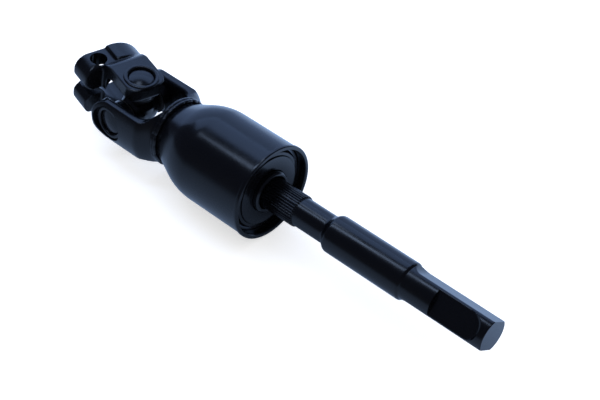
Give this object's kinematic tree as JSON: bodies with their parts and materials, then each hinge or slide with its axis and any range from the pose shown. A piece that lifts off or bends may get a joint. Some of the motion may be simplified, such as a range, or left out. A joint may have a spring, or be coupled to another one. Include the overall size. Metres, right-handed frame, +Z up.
{
  "type": "steering column shaft",
  "caption": "Steering column shaft: a clamp yoke and universal joint on a black rubber-isolated housing, with a splined shaft ending in two flats and a bolt notch.",
  "frame": {"origin": "centre of the end face of the shaft's tip", "axes": "+X along the shaft and out of its tip; Y along the housing yoke's trunnions, away from the picture's viewer; +Z up, along the other trunnions when the joint is straight"},
  "size_m": [0.2647, 0.0508, 0.0508],
  "materials": {
    "black_paint": "gloss black enamel over steel",
    "bearing_steel": "gloss black enamel over hardened steel",
    "black_rubber": "matt moulded rubber"
  },
  "bodies": {
    "shaft": {"splined_shaft": "black_paint", "isolator_inner_sleeve": "black_paint", "end_disc": "black_paint"},
    "housing": {"housing": "black_paint", "housing_yoke": "black_paint", "isolator_outer_sleeve": "black_paint", "isolator_rubber": "black_rubber"},
    "cross": {"cross_spider": "black_paint", "bearing_cup_near": "bearing_steel", "bearing_cup_far": "bearing_steel", "bearing_cup_top": "bearing_steel", "bearing_cup_bottom": "bearing_steel", "needle_rollers_near": "bearing_steel", "needle_rollers_far": "bearing_steel", "needle_rollers_top": "bearing_steel", "needle_rollers_bottom": "bearing_steel", "trunnion_seal_near": "black_rubber", "trunnion_seal_far": "black_rubber", "trunnion_seal_top": "black_rubber", "trunnion_seal_bottom": "black_rubber"},
    "clamp": {"clamp_yoke": "black_paint"}
  },
  "joints": [
    {"name": "isolator_twist", "type": "hinge", "parent": "shaft", "child": "housing", "pos_m": [-0.22799, 0, 0], "axis": [1, 0, 0], "range_deg": [-4, 4], "stiffness_Nm_per_rad": 90},
    {"name": "housing_yoke_bend", "type": "hinge", "parent": "housing", "child": "cross", "pos_m": [-0.22799, 0, 0], "axis": [0, 1, 0], "range_deg": [-37.6, 22.4]},
    {"name": "clamp_yoke_bend", "type": "hinge", "parent": "cross", "child": "clamp", "pos_m": [-0.22799, 0, 0], "axis": [0.1323, 0, 0.9912], "range_deg": [-6, 30]}
  ]
}
